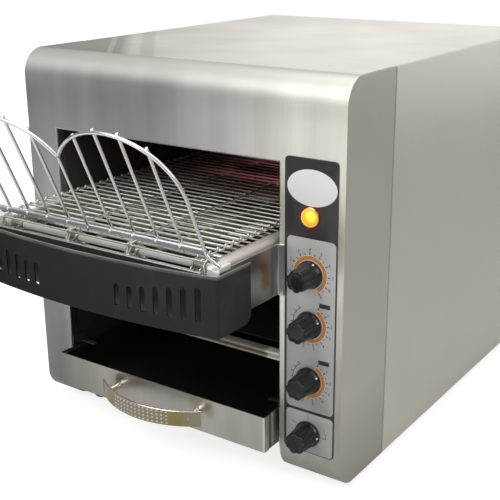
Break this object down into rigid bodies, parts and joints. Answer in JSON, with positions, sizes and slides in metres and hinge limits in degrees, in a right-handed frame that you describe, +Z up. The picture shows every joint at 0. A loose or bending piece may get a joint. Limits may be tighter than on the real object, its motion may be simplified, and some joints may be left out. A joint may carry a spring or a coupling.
{
  "type": "conveyor toaster",
  "caption": "Counter-top conveyor toaster: wire belt and lean-back loading rack in front of the feed, heated chamber, return chute and pull-out toast drawer.",
  "frame": {"origin": "centre of the overall footprint on the surface the feet stand on", "axes": "+Z up, -Y towards the user (the feed side), +X to the right as seen by the user"},
  "size_m": [0.368, 0.5998, 0.384],
  "materials": {
    "stainless_shell": "vertical brushed satin",
    "inner_steel": "mill finish, heat stained",
    "bright_steel": "bright polished",
    "reflector": "bright rolled",
    "guard_black": "satin black powder coat",
    "pan_enamel": "black enamel",
    "belt_wire": "drawn wire, slightly tempered",
    "shaft_steel": "turned",
    "rack_wire": "plated wire",
    "quartz": "frosted quartz",
    "ceramic": "glazed ceramic",
    "handle_nickel": "satin nickel",
    "panel_overlay": "printed overlay film",
    "knob_black": "satin moulded",
    "control_plastic": "moulded",
    "lamp_amber": "clear amber",
    "motor_steel": "zinc grey",
    "fan_black": "moulded",
    "foot_rubber": "moulded"
  },
  "bodies": {
    "housing": {"front_shell": "stainless_shell", "side_panel_left": "stainless_shell", "side_panel_right": "stainless_shell", "top_panel": "stainless_shell", "rear_panel": "stainless_shell", "base_pan": "inner_steel", "seam_frame": "inner_steel", "chamber_wall_left": "inner_steel", "chamber_wall_right": "inner_steel", "upper_reflector": "reflector", "lower_reflector": "reflector", "toast_chute": "inner_steel", "cross_rail": "inner_steel", "front_lip": "guard_black", "cross_rods": "shaft_steel", "wear_strips": "inner_steel", "fascia": "guard_black", "fascia_tabs": "inner_steel", "belt": "belt_wire", "gear_motor": "motor_steel", "control_panel": "panel_overlay", "lamp_bezel": "bright_steel", "lamp_lens": "lamp_amber", "fan_housing": "fan_black", "terminal_block": "ceramic", "feet": "foot_rubber", "rear_screws": "bright_steel", "cord_gland": "control_plastic", "upper_elements": "quartz", "lower_elements": "quartz", "upper_element_caps": "ceramic", "lower_element_caps": "ceramic", "feed_plate_right": "inner_steel", "feed_plate_left": "inner_steel", "conveyor_rail_right": "inner_steel", "conveyor_rail_left": "inner_steel", "corner_block_right": "bright_steel", "corner_block_left": "bright_steel", "rear_block_right": "bright_steel", "rear_block_left": "bright_steel", "drawer_runner_right": "inner_steel", "drawer_runner_left": "inner_steel", "drawer_tabs": "inner_steel", "speed_control": "control_plastic", "top_heat_control": "control_plastic", "bottom_heat_control": "control_plastic", "mode_control": "control_plastic"},
    "conveyor_drive": {"drive_shaft": "shaft_steel"},
    "conveyor_idler": {"idler_shaft": "shaft_steel"},
    "fan": {"fan_rotor": "fan_black"},
    "rack": {"loading_rack": "rack_wire"},
    "drawer": {"drawer_pan": "pan_enamel", "drawer_front": "stainless_shell", "drawer_handle": "handle_nickel"},
    "speed_dial": {"speed_knob": "knob_black"},
    "top_heat_dial": {"top_heat_knob": "knob_black"},
    "bottom_heat_dial": {"bottom_heat_knob": "knob_black"},
    "mode_dial": {"mode_knob": "knob_black"}
  },
  "joints": [
    {"name": "drive_spin", "type": "hinge", "parent": "housing", "child": "conveyor_drive", "pos_m": [-0.013, 0.16789, 0.235], "axis": [1, 0, 0], "continuous": true},
    {"name": "idler_spin", "type": "hinge", "parent": "housing", "child": "conveyor_idler", "pos_m": [-0.013, -0.23911, 0.235], "axis": [1, 0, 0], "continuous": true},
    {"name": "fan_spin", "type": "hinge", "parent": "housing", "child": "fan", "pos_m": [0.152, 0.27589, 0.13], "axis": [0, 1, 0], "continuous": true},
    {"name": "drawer_slide", "type": "slide", "parent": "housing", "child": "drawer", "axis": [0, -1, 0], "range_m": [-0.018, 0.24]},
    {"name": "rack_lift", "type": "slide", "parent": "housing", "child": "rack", "axis": [0, -0.4099, 0.9121], "range_m": [0, 0.014]},
    {"name": "speed_turn", "type": "hinge", "parent": "housing", "child": "speed_dial", "pos_m": [0.1515, -0.15911, 0.214], "axis": [0, 1, 0], "range_deg": [-176, 124]},
    {"name": "top_heat_turn", "type": "hinge", "parent": "housing", "child": "top_heat_dial", "pos_m": [0.1515, -0.15911, 0.1672], "axis": [0, 1, 0], "range_deg": [-214, 86]},
    {"name": "bottom_heat_turn", "type": "hinge", "parent": "housing", "child": "bottom_heat_dial", "pos_m": [0.1515, -0.15911, 0.1138], "axis": [0, 1, 0], "range_deg": [-210, 90]},
    {"name": "mode_turn", "type": "hinge", "parent": "housing", "child": "mode_dial", "pos_m": [0.1515, -0.15911, 0.0605], "axis": [0, 1, 0], "range_deg": [-181, 0]}
  ],
  "couplings": [
    {"joint": "idler_spin", "follows": "drive_spin", "ratio": 1}
  ]
}
